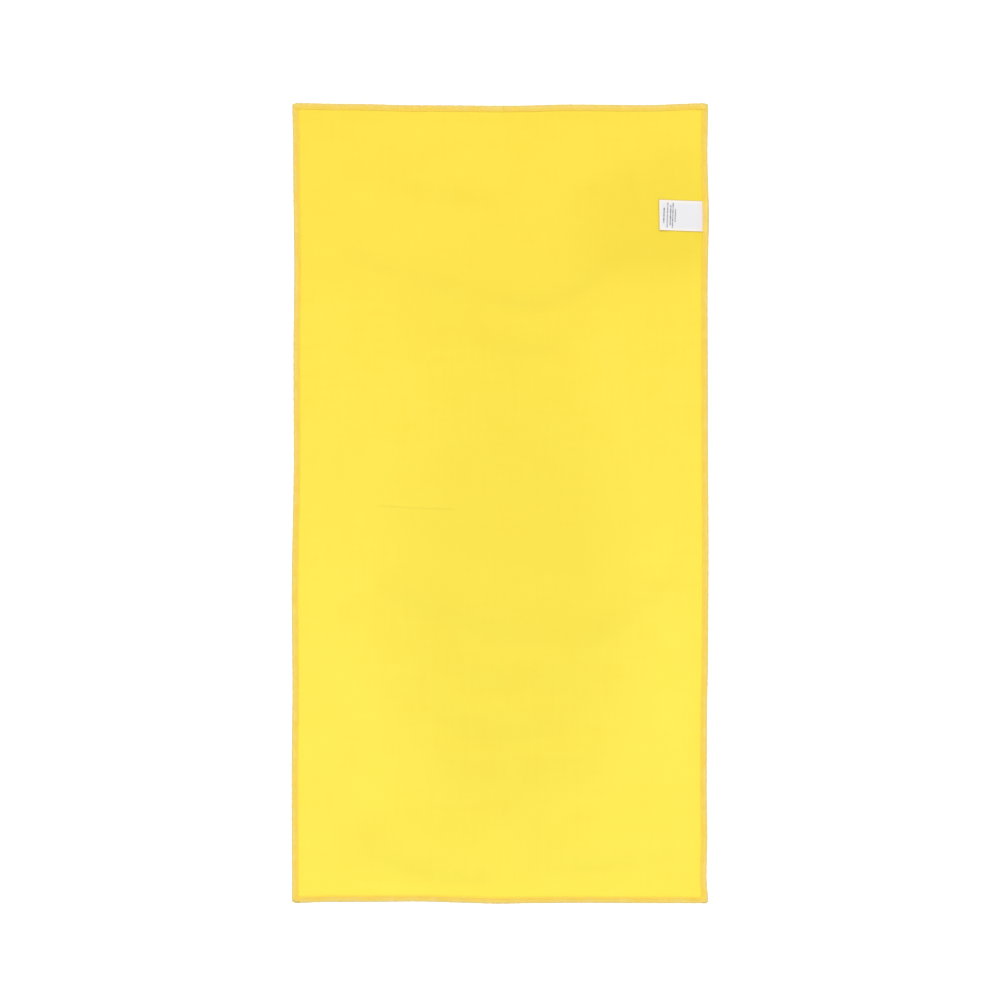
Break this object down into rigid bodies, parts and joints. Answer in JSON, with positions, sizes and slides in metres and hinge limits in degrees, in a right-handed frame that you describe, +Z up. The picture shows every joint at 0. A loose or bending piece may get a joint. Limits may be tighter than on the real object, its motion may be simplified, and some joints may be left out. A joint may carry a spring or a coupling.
{
  "type": "sports towel",
  "caption": "Flat microfibre sports towel lying face up with soft swags, an overlocked thread border and a small white satin label under the right edge.",
  "frame": {"origin": "middle of the towel, on the surface that it lies on", "axes": "+X towards the edge that holds the label, +Y towards the top edge, nearer the label, +Z up out of the face that shows"},
  "size_m": [0.4174, 0.8004, 0.0048],
  "materials": {
    "towel_cloth": "matte",
    "border_thread": "matte",
    "label_satin": "satin"
  },
  "bodies": {
    "root": {"cloth_panel": "towel_cloth", "overlock_left": "border_thread", "overlock_right": "border_thread", "overlock_top": "border_thread", "overlock_bottom": "border_thread", "care_label": "label_satin"}
  },
  "joints": []
}
